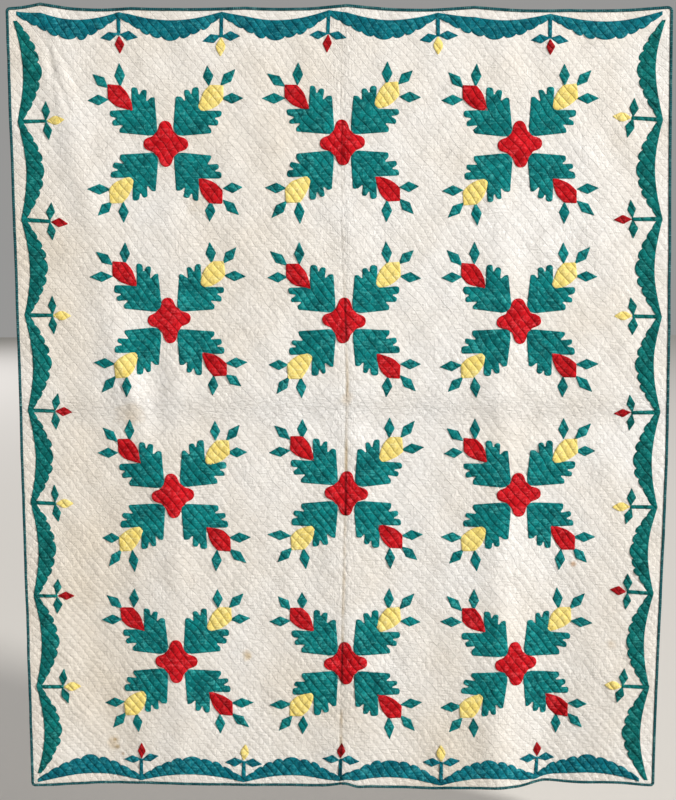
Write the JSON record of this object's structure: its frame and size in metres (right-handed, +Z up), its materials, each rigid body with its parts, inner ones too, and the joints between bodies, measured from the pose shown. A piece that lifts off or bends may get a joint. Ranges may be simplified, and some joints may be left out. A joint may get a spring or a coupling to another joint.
{
  "type": "applique quilt",
  "caption": "Hand-quilted cotton applique quilt with flower-and-leaf squares and a scalloped swag border, hanging flat by its top edge in soft folds.",
  "frame": {"origin": "middle of the top edge, on the quilt's back", "axes": "+Z up, +X to the right of someone who faces the quilt, the front faces -Y"},
  "size_m": [1.8194, 0.0335, 2.2051],
  "materials": {
    "ground": "matt woven cotton, off-white",
    "binding": "matt woven cotton, dark teal green",
    "leaf": "matt woven cotton, teal green",
    "centre": "matt woven cotton, turkey red",
    "swag_top_bottom": "matt woven cotton, blue-green",
    "swag_sides": "matt woven cotton, deep green"
  },
  "bodies": {
    "root": {"quilt": "ground", "binding": "binding", "leaves_1_1": "leaf", "leaves_1_2": "leaf", "leaves_1_3": "leaf", "leaves_2_1": "leaf", "leaves_2_2": "leaf", "leaves_2_3": "leaf", "leaves_3_1": "leaf", "leaves_3_2": "leaf", "leaves_3_3": "leaf", "leaves_4_1": "leaf", "leaves_4_2": "leaf", "leaves_4_3": "leaf", "centre_1_1": "centre", "centre_1_2": "centre", "centre_1_3": "centre", "centre_2_1": "centre", "centre_2_2": "centre", "centre_2_3": "centre", "centre_3_1": "centre", "centre_3_2": "centre", "centre_3_3": "centre", "centre_4_1": "centre", "centre_4_2": "centre", "centre_4_3": "centre", "swag_top_1": "swag_top_bottom", "swag_top_2": "swag_top_bottom", "swag_top_3": "swag_top_bottom", "swag_top_4": "swag_top_bottom", "swag_top_5": "swag_top_bottom", "swag_top_6": "swag_top_bottom", "swag_bottom_1": "swag_top_bottom", "swag_bottom_2": "swag_top_bottom", "swag_bottom_3": "swag_top_bottom", "swag_bottom_4": "swag_top_bottom", "swag_bottom_5": "swag_top_bottom", "swag_bottom_6": "swag_top_bottom", "swag_left_1": "swag_sides", "swag_left_2": "swag_sides", "swag_left_3": "swag_sides", "swag_left_4": "swag_sides", "swag_left_5": "swag_sides", "swag_left_6": "swag_sides", "swag_left_7": "swag_sides", "swag_left_8": "swag_sides", "swag_right_1": "swag_sides", "swag_right_2": "swag_sides", "swag_right_3": "swag_sides", "swag_right_4": "swag_sides", "swag_right_5": "swag_sides", "swag_right_6": "swag_sides", "swag_right_7": "swag_sides", "swag_right_8": "swag_sides"}
  },
  "joints": []
}
